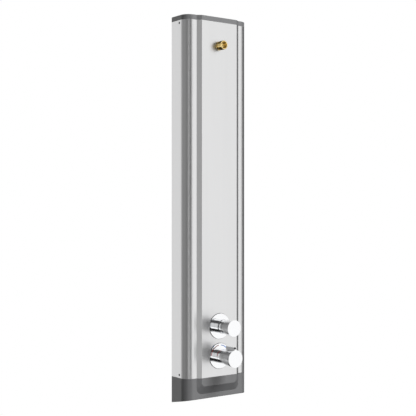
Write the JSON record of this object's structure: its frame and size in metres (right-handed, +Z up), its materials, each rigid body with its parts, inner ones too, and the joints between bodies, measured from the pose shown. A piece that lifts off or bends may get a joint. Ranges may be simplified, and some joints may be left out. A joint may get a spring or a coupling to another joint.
{
  "type": "shower panel column",
  "caption": "Wall-hung aluminium shower column with a push button, a turning temperature knob, a threaded head outlet and piped hot and cold inlets.",
  "frame": {"origin": "on the wall plane, in the middle of the four wall fixings, which is the middle of the panel's height and width", "axes": "+Z up along the column, +X to the right as seen from the front, -Y out of the wall towards the user"},
  "size_m": [0.183, 0.1285, 0.912],
  "materials": {
    "anodised_aluminium": "satin anodised",
    "cap_plastic": "matt moulded dark grey",
    "bracket_steel": "folded stainless",
    "screw_steel": "blackened",
    "zinc_steel": "zinc plated",
    "brass": "bright turned",
    "cast_brass": "cast and machined",
    "copper_tube": "drawn copper",
    "rubber": "moulded",
    "chrome": "polished",
    "cartridge_plastic": "moulded",
    "stainless": "drawn",
    "check_plastic": "moulded"
  },
  "bodies": {
    "panel": {"column_profile": "anodised_aluminium", "top_cap": "cap_plastic", "bottom_cap": "cap_plastic", "wall_bracket_top": "bracket_steel", "wall_bracket_bottom": "bracket_steel", "side_screws": "screw_steel", "bracket_nuts": "zinc_steel", "shower_nipple": "brass", "flow_limiter": "brass", "nipple_washer": "rubber", "nipple_locknut": "cast_brass", "outlet_elbow": "cast_brass", "riser_pipe": "copper_tube", "riser_nuts": "cast_brass", "riser_clips": "cartridge_plastic", "valve_body": "cast_brass", "valve_gasket": "rubber", "timeflow_cartridge": "cartridge_plastic", "timeflow_seals": "rubber", "push_collar": "chrome", "push_rosette": "chrome", "link_pipe": "copper_tube", "link_nuts": "cast_brass", "mixer_body": "cast_brass", "mixer_gasket": "rubber", "thermostatic_cartridge": "cartridge_plastic", "mixer_seals": "rubber", "knob_collar": "chrome", "knob_rosette": "chrome", "temperature_stop_ring": "cartridge_plastic", "inlet_pipe_nuts": "cast_brass", "inlet_pipe_hot": "copper_tube", "stopcock_hot": "cast_brass", "check_valve_hot": "check_plastic", "inlet_filter_hot": "stainless", "union_nut_hot": "cast_brass", "inlet_pipe_cold": "copper_tube", "stopcock_cold": "cast_brass", "check_valve_cold": "check_plastic", "inlet_filter_cold": "stainless", "union_nut_cold": "cast_brass"},
    "button": {"push_button": "chrome", "push_stem": "stainless", "return_spring": "stainless"},
    "knob": {"temperature_knob": "chrome", "knob_cap": "chrome", "knob_screw": "stainless", "mixer_spindle": "stainless"},
    "shuttle": {"regulating_shuttle": "cartridge_plastic"},
    "isolator_hot_ball": {"isolator_hot": "cast_brass"},
    "isolator_cold_ball": {"isolator_cold": "cast_brass"}
  },
  "joints": [
    {"name": "button_press", "type": "slide", "parent": "panel", "child": "button", "axis": [0, 1, 0], "range_m": [0, 0.004], "stiffness_N_per_m": 1500, "springref_m": -0.006, "deforming": ["return_spring"]},
    {"name": "temperature_turn", "type": "hinge", "parent": "panel", "child": "knob", "pos_m": [0, -0.1, -0.352], "axis": [0, 1, 0], "range_deg": [-90, 60]},
    {"name": "shuttle_slide", "type": "slide", "parent": "panel", "child": "shuttle", "axis": [0, 1, 0], "range_m": [-0.0021, 0.0014]},
    {"name": "isolator_hot_turn", "type": "hinge", "parent": "panel", "child": "isolator_hot_ball", "pos_m": [-0.06, -0.038, -0.184], "axis": [0, 1, 0], "range_deg": [0, 90]},
    {"name": "isolator_cold_turn", "type": "hinge", "parent": "panel", "child": "isolator_cold_ball", "pos_m": [0.06, -0.038, -0.184], "axis": [0, 1, 0], "range_deg": [0, 90]}
  ],
  "couplings": [
    {"joint": "shuttle_slide", "follows": "temperature_turn", "m_per_rad": 0.0012732}
  ]
}
